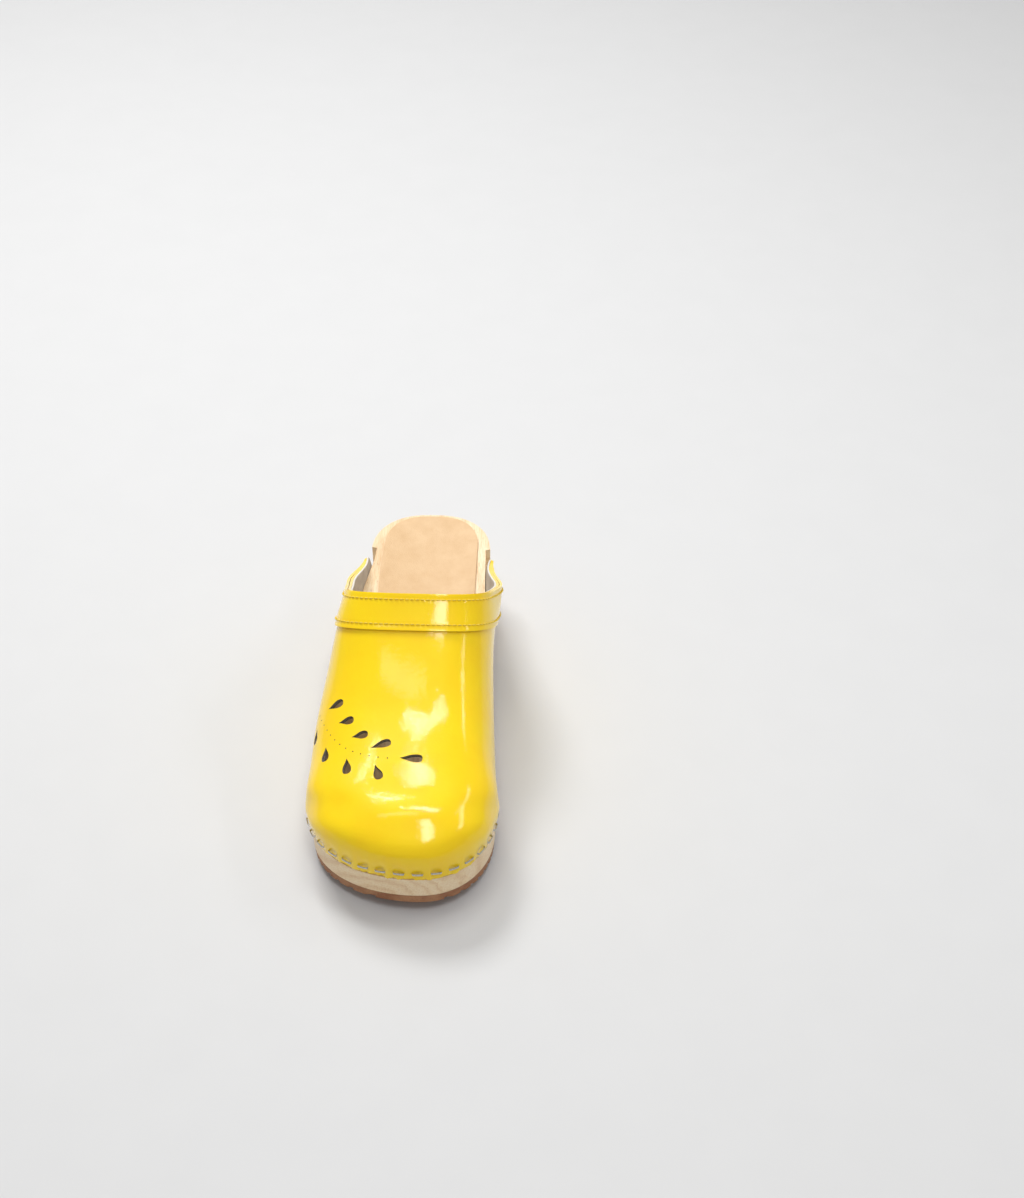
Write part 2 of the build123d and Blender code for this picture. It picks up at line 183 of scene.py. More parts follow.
# Plain leather, drum dyed: a matt and slightly mottled colour with a pebbled grain, whose cells are drawn
# about twice their real size so that they show
def dyedLeather(name, light, dark, cell, roughness):
    material, tree, shader, coordinates = newMaterial(name)
    mottle = addNode(tree, "TexNoise", {
        "Vector": coordinates, "Scale": perMetre(8.3333), "Detail": 5, "Roughness": 0.6,
    })
    pores = addNode(tree, "TexNoise", {
        "Vector": coordinates, "Scale": perMetre(2), "Detail": 4, "Roughness": 0.55,
    })
    grain = addNode(tree, "TexVoronoi", {"Vector": coordinates, "Scale": perMetre(cell)},
                    feature="DISTANCE_TO_EDGE")
    grain = addNode(tree, "ValToRGB", {"Fac": grain}, stops=[(0.0, 0.0), (0.25, 1.0)])
    relief = addNode(tree, "Bump", {"Height": pores, "Distance": 0.0001, "Strength": 0.4})
    relief = addNode(tree, "Bump", {"Height": grain, "Distance": 0.00008, "Strength": 0.6, "Normal": relief})
    colour = addNode(tree, "ValToRGB", {"Fac": mottle}, stops=[(0.3, dark), (0.7, light)])
    setSockets(tree, shader, {"Base Color": colour, "Normal": relief, "Roughness": roughness})
    return material


# Alder, carved and fine-sanded with a thin wax: growth rings and fibres drawn out along the clog, short dark
# pores and a soft, low sheen
def sandedAlder():
    material, tree, shader, coordinates = newMaterial("sandedAlder")
    ringSpace, patchSpace, poreSpace, fibreSpace = [
        addNode(tree, "Mapping", {"Vector": coordinates, "Scale": (1.0, squeeze, 1.0)})
        for squeeze in (0.09, 0.3, 0.06, 0.025)
    ]
    wander = addNode(tree, "TexNoise", {
        "Vector": ringSpace, "Scale": perMetre(26.316), "Detail": 3, "Roughness": 0.55,
    })
    wandering = addNode(tree, "VectorMath", {0: wander, 1: (0.02, 0.02, 0.02), 2: ringSpace},
                        operation="MULTIPLY_ADD")
    rings = addNode(tree, "TexWave", {
        "Vector": wandering, "Scale": wavesEvery(6.83), "Distortion": 2.2, "Detail": 3, "Detail Scale": 1.4,
    }, "Fac", wave_type="RINGS", rings_direction="Y")
    patches = addNode(tree, "TexNoise", {
        "Vector": patchSpace, "Scale": perMetre(45.455), "Detail": 3, "Roughness": 0.55,
    })
    fibres = addNode(tree, "TexNoise", {
        "Vector": fibreSpace, "Scale": perMetre(0.66667), "Detail": 3, "Roughness": 0.6,
    })
    pores = addNode(tree, "TexNoise", {
        "Vector": poreSpace, "Scale": perMetre(0.41667), "Detail": 2, "Roughness": 0.55,
    })
    pores = addNode(tree, "ValToRGB", {"Fac": pores}, stops=[(0.27, 1.0), (0.34, 0.0)])
    rings = addNode(tree, "ValToRGB", {"Fac": rings},
                    stops=[(0.0, "F8E0B8"), (0.62, "F2D5A6"), (1.0, "E0B985")])
    patches = addNode(tree, "ValToRGB", {"Fac": patches},
                      stops=[(0.3, "EDCB9C"), (0.7, "FBE7C6")])
    streaks = addNode(tree, "ValToRGB", {"Fac": fibres}, stops=[(0.35, "DBB483"), (0.6, "FBEBCD")])
    colour = addNode(tree, "Mix", {0: 0.28, 6: rings, 7: patches}, 2, data_type="RGBA")
    colour = addNode(tree, "Mix", {0: 0.35, 6: colour, 7: streaks}, 2, data_type="RGBA")
    colour = addNode(tree, "Mix", {0: pores, 6: colour, 7: hexColour("B98A5E")}, 2, data_type="RGBA")
    sheen = addNode(tree, "ValToRGB", {"Fac": fibres}, stops=[(0.3, 0.62), (0.7, 0.46)])
    relief = addNode(tree, "Bump", {"Height": pores, "Distance": -0.00006, "Strength": 0.6})
    relief = addNode(tree, "Bump", {"Height": fibres, "Distance": 0.00006, "Strength": 0.7, "Normal": relief})
    setSockets(tree, shader, {
        "Base Color": colour, "Normal": relief, "Roughness": sheen, "Coat Weight": 0.12, "Coat Roughness": 0.4,
    })
    return material


# Rubber, a tan compound pressed in a mould: dull and cloudy, with specks of ground cork and faint mould lines
def pressedRubber():
    material, tree, shader, coordinates = newMaterial("pressedRubber")
    clouds = addNode(tree, "TexNoise", {
        "Vector": coordinates, "Scale": perMetre(11.111), "Detail": 5, "Roughness": 0.65,
    })
    specks = addNode(tree, "TexNoise", {
        "Vector": coordinates, "Scale": perMetre(0.76923), "Detail": 2, "Roughness": 0.55,
    })
    lines = addNode(tree, "TexWave", {
        "Vector": coordinates, "Scale": wavesEvery(1.428), "Distortion": 1.5, "Detail": 2,
    }, "Fac", bands_direction="Z")
    cork = addNode(tree, "ValToRGB", {"Fac": specks}, stops=[(0.62, 0.0), (0.68, 0.7)])
    colour = addNode(tree, "ValToRGB", {"Fac": clouds}, stops=[(0.3, "97613F"), (0.7, "BB8A62")])
    colour = addNode(tree, "Mix", {0: cork, 6: colour, 7: hexColour("7A4B30")}, 2, data_type="RGBA")
    relief = addNode(tree, "Bump", {"Height": specks, "Distance": 0.0001, "Strength": 0.6})
    relief = addNode(tree, "Bump", {"Height": lines, "Distance": 0.00016, "Strength": 0.5, "Normal": relief})
    setSockets(tree, shader, {"Base Color": colour, "Normal": relief, "Roughness": 0.68})
    return material


# Thread, polyester plies twisted together: slanting light and dark bands across each stitch, which are painted
# shade in the grooves between the plies and painted highlight on their ridges
def twistedThread():
    material, tree, shader, coordinates = newMaterial("twistedThread")
    plies = addNode(tree, "TexWave", {
        "Vector": coordinates, "Scale": wavesEvery(0.34907), "Distortion": 0.4,
    }, "Fac", bands_direction="DIAGONAL")  # diagonal waves come out wider, 0.4 mm apart
    # painted shade and highlight: darker yellow in the grooves between the plies, lighter yellow on their
    # raised ridges
    colour = addNode(tree, "ValToRGB", {"Fac": plies}, stops=[(0.0, "E2BE10"), (1.0, "FFE45C")])
    relief = addNode(tree, "Bump", {"Height": plies, "Distance": 0.00008, "Strength": 1.0})
    setSockets(tree, shader, {"Base Color": colour, "Normal": relief, "Roughness": 0.5})
    return material


# Staple wire, steel drawn through a die and galvanised: bright metal with fine uneven scratches
def drawnSteel():
    material, tree, shader, coordinates = newMaterial("drawnSteel")
    scratches = addNode(tree, "TexNoise", {
        "Vector": coordinates, "Scale": perMetre(0.55556), "Detail": 4, "Roughness": 0.7,
    })
    colour = addNode(tree, "ValToRGB", {"Fac": scratches}, stops=[(0.3, "A9A79F"), (0.7, "E6E4DE")])
    dullness = addNode(tree, "ValToRGB", {"Fac": scratches}, stops=[(0.3, 0.36), (0.7, 0.22)])
    relief = addNode(tree, "Bump", {"Height": scratches, "Distance": 0.00003, "Strength": 0.5})
    setSockets(tree, shader, {
        "Base Color": colour, "Normal": relief, "Roughness": dullness, "Metallic": 1.0,
    })
    return material


# Leather cut with a knife: matt, loose and unevenly coloured fibres
def cutLeather(name, light, dark):
    material, tree, shader, coordinates = newMaterial(name)
    fibres = addNode(tree, "TexNoise", {
        "Vector": coordinates, "Scale": perMetre(0.45455), "Detail": 4, "Roughness": 0.7,
    })
    colour = addNode(tree, "ValToRGB", {"Fac": fibres}, stops=[(0.3, dark), (0.7, light)])
    relief = addNode(tree, "Bump", {"Height": fibres, "Distance": 0.00012, "Strength": 1.0})
    setSockets(tree, shader, {"Base Color": colour, "Normal": relief, "Roughness": 0.9})
    return material


patent = patentLeather("FFDA00", "FFD400")
liningLeather = dyedLeather("dyedLiningLeather", "D3CFC8", "B9B4AC", 1.1, 0.62)
sockLeather = dyedLeather("dyedSockLeather", "E3C093", "D9B384", 0.9, 0.55)
sockEdge = cutLeather("cutSockLeather", "C39A68", "9E7648")
vampEdge = cutLeather("cutVampLeather", "9B9287", "5F564B")
liningEdge = cutLeather("cutLiningLeather", "F2EEE6", "CFC9BE")
wood = sandedAlder()
rubber = pressedRubber()
thread = twistedThread()
steel = drawnSteel()
print("materials made")


# The upper is measured by rays that end at a point inside it, its heart
measuring = {
    "heartAlong": 0.79,  # share of the upper's length, from the toe
    "heartLift": 0.003,
    "rayLength": 0.4,  # more than the clog's length, so that every ray starts outside it
    "weld": 0.000005,
    "crease": 0.6,  # radians: sharper edges bound the outer skin
    "halvings": 14,
    "lowestRise": -15, "riseSteps": 106,  # degrees, one by one
    "leastTurn": 100, "mostTurn": 175,  # degrees from the toe, with the upper's rear ends between them
    "roughColumns": 150, "roughRows": 50, "edgeShare": 0.0005,
    "hemRises": (0.0005, 0.001),  # radians above the lower edge
    "gapPasses": 160, "easeEvery": 40,
}
vampLow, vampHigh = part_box("vamp_leather")
heart = Vector((
    (vampLow.x + vampHigh.x) / 2,
    vampLow.y + measuring["heartAlong"] * (vampHigh.y - vampLow.y),
    vampLow.z + measuring["heartLift"],
))
rayLength = measuring["rayLength"]


def direction(turn, rise):
    return Vector((math.sin(turn) * math.cos(rise), -math.cos(turn) * math.cos(rise), math.sin(rise)))


def mergedMesh(node):
    merged = bmesh.new()
    merged.from_mesh(cadNodes[node].data)
    bmesh.ops.remove_doubles(merged, verts=merged.verts, dist=measuring["weld"])
    merged.normal_update()
    merged.faces.ensure_lookup_table()
    return merged


# The outer skin, which is every face reached over smooth edges from one outer face, and its rims
def outerSkin(node, seedRise):
    merged = mergedMesh(node)
    towards = direction(0.0, seedRise)
    seed = BVHTree.FromBMesh(merged).ray_cast(heart + towards * rayLength, -towards, rayLength)[2]
    reached, waiting = {seed}, [merged.faces[seed]]
    while waiting:
        for edge in waiting.pop().edges:
            if len(edge.link_faces) == 2 and edge.calc_face_angle() < measuring["crease"]:
                for other in edge.link_faces:
                    if other.index not in reached:
                        reached.add(other.index)
                        waiting.append(other)
    corners = [v.co.copy() for v in merged.verts]
    skin = BVHTree.FromPolygons(corners, [[v.index for v in merged.faces[n].verts] for n in reached])
    neighbours = {}
    for edge in merged.edges:
        if sum(face.index in reached for face in edge.link_faces) == 1:
            first, second = edge.verts
            neighbours.setdefault(first.index, []).append(second.index)
            neighbours.setdefault(second.index, []).append(first.index)
    rims = []
    while neighbours:
        current = next(iter(neighbours))
        rim = []
        while current in neighbours:
            rim.append(corners[current])
            onward = [n for n in neighbours.pop(current) if n in neighbours]
            current = onward[0] if onward else None
        rims.append(rim)
    merged.free()
    return skin, rims


def reach(skin, turn, rise):
    towards = direction(turn, rise)
    distance = skin.ray_cast(heart + towards * rayLength, -towards, rayLength)[3]
    return None if distance is None else rayLength - distance


def halved(test, inside, outside):
    for _ in range(measuring["halvings"]):
        middle = (inside + outside) / 2
        if test(middle):
            inside = middle
        else:
            outside = middle
    return inside


def riseLimits(skin, turn):
    rises = [math.radians(measuring["lowestRise"] + n) for n in range(measuring["riseSteps"])]
    hits = [n for n, rise in enumerate(rises) if reach(skin, turn, rise) is not None]
    if not hits:
        return None
    first, last = hits[0], hits[-1]
    return [
        halved(lambda rise: reach(skin, turn, rise) is not None, rises[inside], rises[outside])
        for inside, outside in ((first, first - 1), (last, last + 1))
    ]


# Points on the skin, with holes in it bridged by an even sheet
def skinPoints(skin, turns, rises):
    reaches = np.array([
        [reach(skin, turn, rise) or np.nan for rise in row] for turn, row in zip(turns, rises)
    ])
    gaps = np.isnan(reaches)
    for row in reaches:
        known = ~np.isnan(row)
        row[~known] = np.interp(np.flatnonzero(~known), np.flatnonzero(known), row[known])
    for n in range(measuring["gapPasses"]):
        near = reaches.copy()
        near[1:-1, 1:-1] = (
            reaches[:-2, 1:-1] + reaches[2:, 1:-1] + reaches[1:-1, :-2] + reaches[1:-1, 2:]
        ) / 4
        reaches[gaps] = near[gaps]
        if n % measuring["easeEvery"] == 0:
            reaches[1:-1, 1:-1] = (reaches[1:-1, 1:-1] + near[1:-1, 1:-1]) / 2
    turnGrid = np.repeat(np.array(turns)[:, None], rises.shape[1], 1)
    flat = reaches * np.cos(rises)
    return np.stack([
        heart.x + flat * np.sin(turnGrid), heart.y - flat * np.cos(turnGrid), heart.z + reaches * np.sin(rises)
    ], 2)


def lengths(points, axis):
    steps = np.linalg.norm(np.diff(points, axis=axis), axis=2)
    return np.concatenate([np.zeros_like(np.take(steps, [0], axis)), np.cumsum(steps, axis)], axis)


# A grid over a node's outer skin: columns round the clog, rows from its lower edge to the topline
def skinGrid(node, seedRise, columns, rowShares):
    skin = outerSkin(node, seedRise)[0]
    ends = [
        halved(lambda turn: riseLimits(skin, turn) is not None,
               side * math.radians(measuring["leastTurn"]), side * math.radians(measuring["mostTurn"]))
        for side in (-1, 1)
    ]
    turns = np.linspace(ends[0], ends[1], measuring["roughColumns"])
    low = np.array([riseLimits(skin, turn)[0] for turn in turns])
    hem = skinPoints(skin, turns, np.stack([low + rise for rise in measuring["hemRises"]], 1))
    along = lengths(hem, 0)[:, 0]
    turns = np.interp(np.linspace(0, along[-1], columns), along, turns)
    limits = np.array([riseLimits(skin, turn) for turn in turns])
    span = limits[:, 1] - limits[:, 0]
    shares = np.linspace(measuring["edgeShare"], 1 - measuring["edgeShare"], measuring["roughRows"])
    rough = lengths(skinPoints(skin, turns, limits[:, :1] + span[:, None] * shares), 1)
    fitted = [np.interp(np.array(rowShares) * row[-1], row, shares) for row in rough]
    return skinPoints(skin, turns, limits[:, :1] + span[:, None] * np.array(fitted))


def outwardNormals(points):
    normals = np.cross(np.gradient(points, axis=0), np.gradient(points, axis=1))
    normals /= np.linalg.norm(normals, axis=2, keepdims=True)
    column, row = points.shape[0] // 2, points.shape[1] // 2
    inwards = normals[column, row] @ (points[column, row] - np.array(heart)) < 0
    return -normals if inwards else normals


# A closed shell between two grids of points, whose rim faces come last and may have their own material
def gridShell(name, outer, inner, materials, rimMaterial=0):
    columns, rows = outer.shape[:2]

    def at(layer, c, r):
        return layer * columns * rows + c * rows + r

    faces = []
    for c in range(columns - 1):
        for r in range(rows - 1):
            quad = [(c, r), (c + 1, r), (c + 1, r + 1), (c, r + 1)]
            faces.append([at(0, *corner) for corner in quad])
            faces.append([at(1, *corner) for corner in reversed(quad)])
    skinFaces = len(faces)
    border = [(c, 0) for c in range(columns)] + [(columns - 1, r) for r in range(1, rows)]
    border += [(c, rows - 1) for c in range(columns - 2, -1, -1)] + [(0, r) for r in range(rows - 2, 0, -1)]
    for first, second in zip(border, border[1:] + border[:1]):
        faces.append([at(0, *second), at(0, *first), at(1, *first), at(1, *second)])
    shell = meshObject(name, np.concatenate([outer.reshape(-1, 3), inner.reshape(-1, 3)]), faces, materials)
    for polygon in shell.data.polygons[skinFaces:]:
        polygon.material_index = rimMaterial
    return shell


# Separate bodies in a node, as centre, long axis and length
def rodsOf(node, shortest):
    merged = mergedMesh(node)
    seen, rods = set(), []
    for start in merged.verts:
        if start.index in seen:
            continue
        seen.add(start.index)
        island, waiting = [], [start]
        while waiting:
            vertex = waiting.pop()
            island.append(vertex.co.copy())
            for edge in vertex.link_edges:
                other = edge.other_vert(vertex)
                if other.index not in seen:
                    seen.add(other.index)
                    waiting.append(other)
        corners = np.array(island)
        centre = (corners.max(0) + corners.min(0)) / 2
        axis = np.linalg.svd(corners - corners.mean(0), full_matrices=False)[2][0]
        length = np.ptp((corners - centre) @ axis)
        if length > shortest:
            rods.append((corners.mean(0), axis, length))
    merged.free()
    return rods


def outwardAt(grid, normals, centre):
    nearby = np.linalg.norm(grid - centre, axis=2)
    column, row = np.unravel_index(np.argmin(nearby), nearby.shape)
    return Vector(normals[column, row])


def fading(distance, width):
    return np.exp(-((distance / width) ** 2))


# Vamp leather: it sinks in under each staple, puffs and scallops between them, and is pleated at the toe
vampSettings = {
    "columns": 400, "hemRows": 14, "hemRowShare": 0.0085, "upperRows": 58, "seedRise": math.radians(25),
    "thickness": 0.0014, "edgeRadius": 0.0004, "bevelAngle": 55, "smoothAngle": 50,
    "crownRow": 4, "staplePitch": 0.0092, "stapleRise": 0.0046,
    "pocketDepth": 0.0006, "pocketHeight": 0.0026, "pocketBreadth": 1.8,
    "puff": 0.0005, "puffHeight": 0.009, "scallop": 0.0007, "scallopHeight": 0.0025,
    "pleat": 0.00055, "pleatReach": 0.0075, "pleatSpread": 0.045, "pleatElsewhere": 0.15,
    "pleatEasing": (0.25, 0.7, 0.25),
}
stapleSettings = {
    "shortest": 0.0048,  # legs are shorter than this, crowns longer
    "tilt": 0.12, "lift": 0.00008, "halfWidth": 0.00064, "halfHeight": 0.00034,
    "path": (  # share of the crown's half length, and depth below its top
        (-1.0, 0.0022), (-1.0, 0.0008), (-0.93, 0.0002), (-0.8, 0), (0, -0.00005),
        (0.8, 0), (0.93, 0.0002), (1.0, 0.0008), (1.0, 0.0022),
    ),
}
hemRows = [n * vampSettings["hemRowShare"] for n in range(vampSettings["hemRows"])]
rowsLeft = vampSettings["upperRows"]
upperRows = [hemRows[-1] + (1 - hemRows[-1]) * n / rowsLeft for n in range(1, rowsLeft + 1)]
vampGrid = skinGrid("vamp_leather", vampSettings["seedRise"], vampSettings["columns"], hemRows + upperRows)
vampNormals = outwardNormals(vampGrid)
print("vamp measured")

crowns = rodsOf("staples", stapleSettings["shortest"])
hemAlong = lengths(vampGrid, 0)[:, 0]
crownLine = vampGrid[:, vampSettings["crownRow"]]
nearest = [int(np.argmin(np.linalg.norm(crownLine - centre, axis=1))) for centre, _, _ in crowns]
crownAlong = np.sort(hemAlong[nearest])
phase = np.interp(hemAlong, crownAlong, np.arange(len(crownAlong)))  # a whole number at each staple
before, after = hemAlong < crownAlong[0], hemAlong > crownAlong[-1]
phase[before] = (hemAlong[before] - crownAlong[0]) / vampSettings["staplePitch"]
phase[after] = len(crownAlong) - 1 + (hemAlong[after] - crownAlong[-1]) / vampSettings["staplePitch"]
pressed = np.cos(2 * np.pi * phase)[:, None]
height = lengths(vampGrid, 1)
toeColumn = int(np.argmin(vampGrid[:, 0, 1]))
toeNearness = fading(hemAlong - hemAlong[toeColumn], vampSettings["pleatSpread"])[:, None]
waviness = noiseMaker.normal(size=vampSettings["columns"])
waviness = np.convolve(waviness, vampSettings["pleatEasing"], "same")[:, None]
pleating = waviness * (vampSettings["pleatElsewhere"] + toeNearness)
atStaples = fading(height - vampSettings["stapleRise"], vampSettings["pocketHeight"])
relief = -vampSettings["pocketDepth"] * np.clip(pressed * vampSettings["pocketBreadth"], 0, 1) * atStaples
relief += vampSettings["puff"] * np.maximum(-pressed, 0) * fading(height, vampSettings["puffHeight"])
relief += vampSettings["pleat"] * pleating * np.exp(-height / vampSettings["pleatReach"])
vampOuter = vampGrid + vampNormals * relief[:, :, None]
scallops = (1 - pressed) / 2 * np.exp(-height / vampSettings["scallopHeight"])
vampOuter[:, :, 2] += vampSettings["scallop"] * scallops
vampInner = vampGrid - vampNormals * vampSettings["thickness"]
vamp = gridShell("vampLeather", vampOuter, vampInner, [patent, vampEdge])
breakEdges(vamp, vampSettings["edgeRadius"], 3, vampSettings["bevelAngle"])
print("vamp modelled")

# Lining, behind the leather, with a pale edge that shows over the topline
liningSettings = {"front": 0.00148, "back": 0.0024, "proud": 0.0006, "edgeRadius": 0.0002, "topSlopeRows": 3}
coarseGrid, coarseNormals = vampGrid[::2, ::2], vampNormals[::2, ::2]
liningOuter = coarseGrid - coarseNormals * liningSettings["front"]
liningInner = coarseGrid - coarseNormals * liningSettings["back"]
upSlope = vampGrid[::2, -1] - vampGrid[::2, -1 - liningSettings["topSlopeRows"]]
upSlope /= np.linalg.norm(upSlope, axis=1, keepdims=True)
for layer in (liningOuter, liningInner):
    layer[:, -1] += upSlope * liningSettings["proud"]
lining = gridShell("vampLining", liningOuter, liningInner, [liningLeather, liningEdge], 1)
breakEdges(lining, liningSettings["edgeRadius"], 2, vampSettings["bevelAngle"])

# Cut-outs: a prism through every small rim in the vamp's outer skin, and so none through its own border
cutSettings = {"widest": 0.012, "inwards": 0.0042, "outwards": 0.003}


def prismsThrough(rims):
    vertices, faces = [], []
    for rim in rims:
        centre = sum(rim, Vector()) / len(rim)
        if max((corner - centre).length for corner in rim) > cutSettings["widest"]:
            continue
        area = sum(((a - centre).cross(b - centre) for a, b in zip(rim, rim[1:] + rim[:1])), Vector())
        outward = outwardAt(vampGrid, vampNormals, centre)
        if area.dot(outward) < 0:
            rim = rim[::-1]
        base, count = len(vertices), len(rim)
        vertices += [corner - outward * cutSettings["inwards"] for corner in rim]
        vertices += [corner + outward * cutSettings["outwards"] for corner in rim]
        faces.append([base + n for n in reversed(range(count))])
        faces.append([base + count + n for n in range(count)])
        for n in range(count):
            m = (n + 1) % count
            faces.append([base + n, base + m, base + count + m, base + count + n])
    return meshObject("leafCutter", vertices, faces, [vampEdge])


leafCutter = prismsThrough(outerSkin("vamp_leather", vampSettings["seedRise"])[1])
for layer in (vamp, lining):
    applyModifier(layer, "BOOLEAN", object=leafCutter, operation="DIFFERENCE", solver="EXACT",
                  material_mode="TRANSFER")
    shadeByAngle(layer, vampSettings["smoothAngle"])
bpy.data.objects.remove(leafCutter)
place(vamp, "patent", "vamp_leather")
place(lining, "lining", "vamp_lining", "toe_stiffener")
print("leaves cut")

# Collar band, pressed in a little along both rows of stitches
bandSettings = {
    "columns": 400, "rows": 30, "seedRise": math.radians(60), "thickness": 0.00148, "edgeRadius": 0.0005,
    "seamMargin": 0.003, "seamDepth": 0.00014, "seamWidth": 0.0011, "bevelAngle": 55, "smoothAngle": 50,
}
bandRows = [n / (bandSettings["rows"] - 1) for n in range(bandSettings["rows"])]
bandGrid = skinGrid("collar_band", bandSettings["seedRise"], bandSettings["columns"], bandRows)
bandNormals = outwardNormals(bandGrid)
fromBottom = lengths(bandGrid, 1)
fromTop = fromBottom[:, -1:] - fromBottom
seams = sum(
    fading(edge - bandSettings["seamMargin"], bandSettings["seamWidth"]) for edge in (fromBottom, fromTop)
)
bandOuter = bandGrid - bandNormals * (bandSettings["seamDepth"] * seams)[:, :, None]
bandInner = bandGrid - bandNormals * bandSettings["thickness"]
band = gridShell("collarBand", bandOuter, bandInner, [patent])
breakEdges(band, bandSettings["edgeRadius"], 3, bandSettings["bevelAngle"])
shadeByAngle(band, bandSettings["smoothAngle"])
place(band, "patent", "collar_band")
print("collar band modelled")


wireSettings = {"sides": 8, "smoothAngle": 60}


# A wire along a path of centres, each with a swelling of its section, as vertices and faces
def wire(path, side, up, halfWidth, halfHeight):
    vertices, faces = [], []
    sides = wireSettings["sides"]
    for centre, swelling in path:
        for n in range(sides):
            angle = 2 * math.pi * n / sides
            across = side * (math.cos(angle) * halfWidth * swelling)
            vertices.append(centre + across + up * (math.sin(angle) * halfHeight * swelling))
    for ring in range(len(path) - 1):
        for n in range(sides):
            m = (n + 1) % sides
            a, b = ring * sides, (ring + 1) * sides
            faces.append([a + n, b + n, b + m, a + m])
    faces.append(list(range(sides)))
    faces.append([(len(path) - 1) * sides + n for n in reversed(range(sides))])
    return vertices, faces


def manyWires(name, items, material):
    vertices, faces = [], []
    for newVertices, newFaces in items:
        base = len(vertices)
        vertices += newVertices
        faces += [[base + n for n in face] for face in newFaces]
    obj = meshObject(name, vertices, faces, [material])
    selectOnly(obj)
    bpy.ops.object.mode_set(mode="EDIT")
    bpy.ops.mesh.select_all(action="SELECT")
    bpy.ops.mesh.normals_make_consistent(inside=False)
    bpy.ops.object.mode_set(mode="OBJECT")
    shadeByAngle(obj, wireSettings["smoothAngle"])
    return obj


# Staples: flat wire crowns whose ends turn into the leather, each tilted a little by chance
stapleItems = []
for centre, axis, length in crowns:
    up = outwardAt(vampGrid, vampNormals, centre)
    along = Vector(axis)
    along = (along - up * along.dot(up)).normalized()
    tilt = random.uniform(-stapleSettings["tilt"], stapleSettings["tilt"])
    along = (along + along.cross(up) * tilt).normalized()
    side = along.cross(up)
    middle = Vector(centre) + up * stapleSettings["lift"]
    path = [(middle + along * (length / 2 * share) - up * drop, 1.0) for share, drop in stapleSettings["path"]]
    stapleItems.append(wire(path, side, up, stapleSettings["halfWidth"], stapleSettings["halfHeight"]))
stapleRow = manyWires("stapleRow", stapleItems, steel)
place(stapleRow, "steel", "staples")

# Stitches: each one a bowed bead of thread between two needle holes
stitchSettings = {
    "shortest": 0.001, "beyondHoles": 0.00012, "lift": 0.00002, "bow": 0.00012, "plunge": 0.00045,
    "halfRings": 3, "thinEnd": 0.55, "halfWidth": 0.00034, "halfHeight": 0.00028,
}
for node in ("stitching_upper", "stitching_lower"):
    stitchItems = []
    for centre, axis, length in rodsOf(node, stitchSettings["shortest"]):
        up = outwardAt(bandGrid, bandNormals, centre)
        along = Vector(axis)
        side = along.cross(up).normalized()
        middle = Vector(centre) + up * stitchSettings["lift"]
        half = length / 2 + stitchSettings["beyondHoles"]
        path = []
        for n in range(2 * stitchSettings["halfRings"] + 1):
            share = -1 + n / stitchSettings["halfRings"]
            bow = stitchSettings["bow"] - stitchSettings["plunge"] * share ** 2
            swelling = stitchSettings["thinEnd"] + (1 - stitchSettings["thinEnd"]) * (1 - share ** 4)
            path.append((middle + along * (half * share) + up * bow, swelling))
        stitchItems.append(wire(path, side, up, stitchSettings["halfWidth"], stitchSettings["halfHeight"]))
    place(manyWires(node.replace("stitching_", "stitches."), stitchItems, thread), "thread", node)
print("staples and stitches modelled")


# Sole, treads and heel sock keep the CAD's form, with their edges broken
soleSettings = {"edgeRadius": 0.0006, "bevelAngle": 38, "smoothAngle": 35}
treadSettings = {"edgeRadius": 0.0003, "bevelAngle": 38, "smoothAngle": 35}
sockSettings = {"edgeRadius": 0.0004, "bevelAngle": 38, "smoothAngle": 35, "steepest": 0.5}


def brokenCopy(node, name, settings, materials):
    merged = mergedMesh(node)
    mesh = bpy.data.meshes.new(name)
    merged.to_mesh(mesh)
    merged.free()
    for material in materials:
        mesh.materials.append(material)
    for polygon in mesh.polygons:
        polygon.material_index = 0
    obj = linked(name, mesh)
    breakEdges(obj, settings["edgeRadius"], 3, settings["bevelAngle"])
    shadeByAngle(obj, settings["smoothAngle"])
    return obj


place(brokenCopy("wooden_sole", "woodenSole", soleSettings, [wood]), "wood", "wooden_sole")
for node, name in (("heel_tread", "heelTread"), ("forefoot_tread", "forefootTread")):
    place(brokenCopy(node, name, treadSettings, [rubber]), "rubber", node)
heelSock = brokenCopy("heel_pad", "heelSock", sockSettings, [sockLeather, sockEdge])
for polygon in heelSock.data.polygons:
    if abs(polygon.normal.z) < sockSettings["steepest"]:
        polygon.material_index = 1
place(heelSock, "pad", "heel_pad")
print("sole finished")


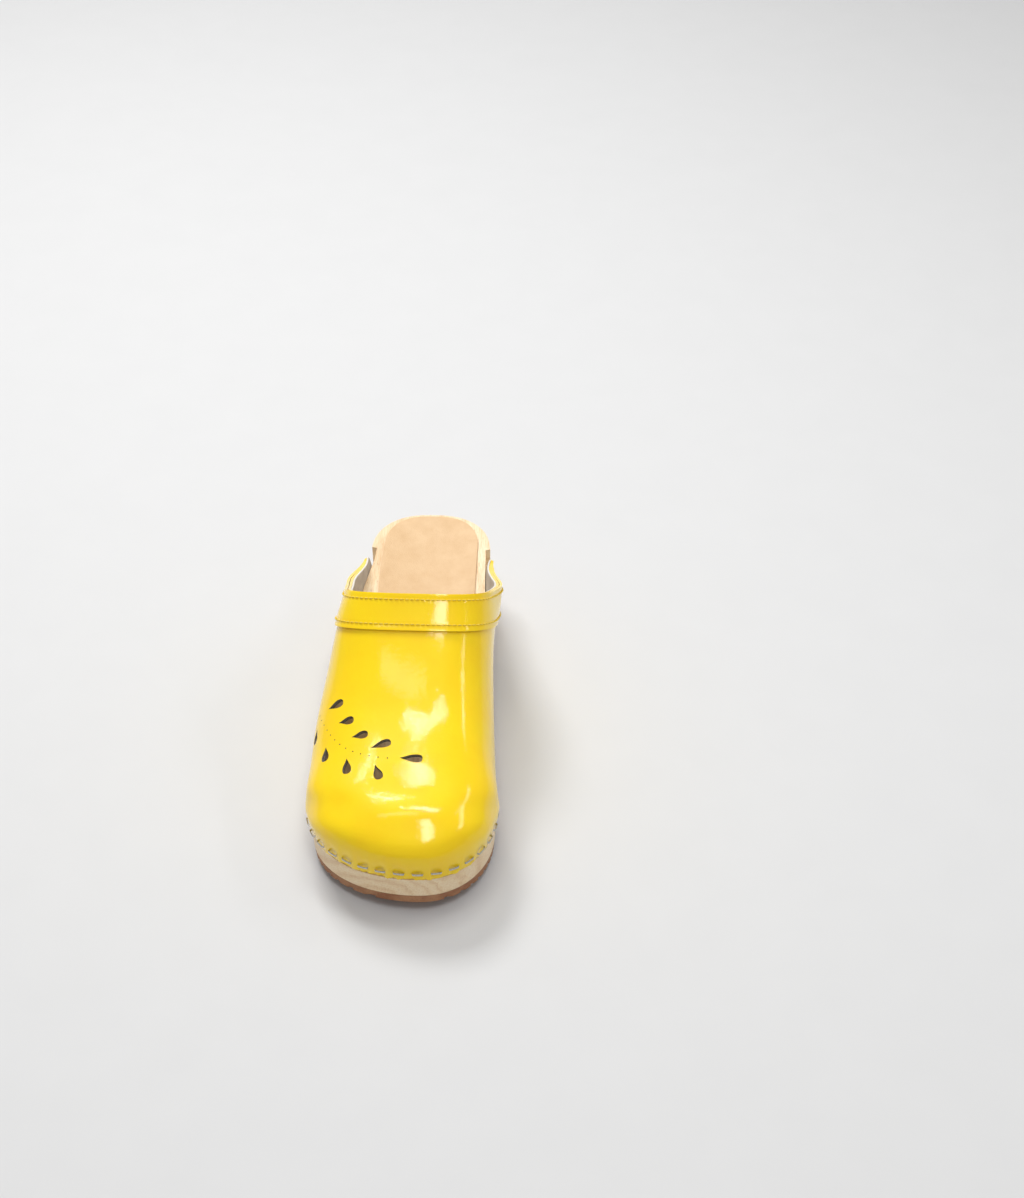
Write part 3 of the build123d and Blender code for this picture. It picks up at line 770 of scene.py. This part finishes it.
# Studio: a pale floor, softboxes high over the clog, a group of them for the bright-rimmed patch on the vamp
studioSettings = {
    "floorSize": 14, "floorShades": ("D6D6D6", "D9D9D9"), "skyColour": "F4F4F4", "skyStrength": 0.4,
    "softboxes": [
        {"name": "vampSoftbox", "at": (0.10, 0.228, 1.25), "size": (0.50, 0.105), "power": 0.6},
        {"name": "vampRimNear", "at": (0.10, 0.175, 1.25), "size": (0.50, 0.012), "power": 1.1},
        {"name": "vampRimFar", "at": (0.10, 0.280, 1.25), "size": (0.50, 0.012), "power": 1.1},
        {"name": "vampRimLeft", "at": (-0.15, 0.228, 1.25), "size": (0.014, 0.105), "power": 0.3},
        {"name": "vampRimRight", "at": (0.35, 0.228, 1.25), "size": (0.014, 0.105), "power": 0.3},
        {"name": "frontSoftbox", "at": (0.16, -0.52, 1.3), "size": (0.26, 0.36), "power": 3.4},
        {"name": "leftPanel", "at": (-0.28, -0.10, 1.3), "size": (0.20, 0.50), "power": 0.8},
        {"name": "rightStrip", "at": (1.15, 0.20, 1.15), "size": (0.90, 0.10), "power": 2.0},
        {"name": "rearPanel", "at": (-0.50, 0.90, 1.40), "size": (0.60, 0.45), "power": 16},
    ],
}
cameraSettings = {
    "lens": 52.74, "shift": 0.0927, "at": (0.076, -0.6687, 0.6924), "towards": (-0.0246, 0.7036, -0.7102),
}


# Painted card, matt and rolled flat: an even, faintly clouded pale grey
def paintedCard():
    material, tree, shader, coordinates = newMaterial("paintedCard")
    clouds = addNode(tree, "TexNoise", {
        "Vector": coordinates, "Scale": perMetre(33.333), "Detail": 2, "Roughness": 0.55,
    })
    colour = addNode(tree, "ValToRGB", {"Fac": clouds}, stops=list(enumerate(studioSettings["floorShades"])))
    setSockets(tree, shader, {"Base Color": colour, "Roughness": 0.85})
    return material


bpy.ops.mesh.primitive_plane_add(size=studioSettings["floorSize"])
floor = bpy.context.object
floor.name = "studioFloor"
floor.data.materials.append(paintedCard())

world = bpy.data.worlds.new("studioWorld")
world.use_nodes = True
setSockets(world.node_tree, world.node_tree.nodes["Background"], {
    "Color": hexColour(studioSettings["skyColour"]), "Strength": studioSettings["skyStrength"],
})
bpy.context.scene.world = world

middle = (cadLow + cadHigh) / 2
for box in studioSettings["softboxes"]:
    light = bpy.data.lights.new(box["name"], "AREA")
    light.shape = "RECTANGLE"
    light.size, light.size_y = box["size"]
    light.energy = box["power"]
    lamp = linked(box["name"], light)
    lamp.location = box["at"]
    lamp.rotation_euler = (middle - lamp.location).to_track_quat("-Z", "Y").to_euler()

cameraData = bpy.data.cameras.new("camera")
cameraData.lens = cameraSettings["lens"]
cameraData.shift_y = cameraSettings["shift"]
camera = linked("camera", cameraData)
camera.location = cameraSettings["at"]
camera.rotation_euler = Vector(cameraSettings["towards"]).to_track_quat("-Z", "Y").to_euler()
bpy.context.scene.camera = camera
bpy.context.scene.view_settings.view_transform = "Standard"
print("studio set up")
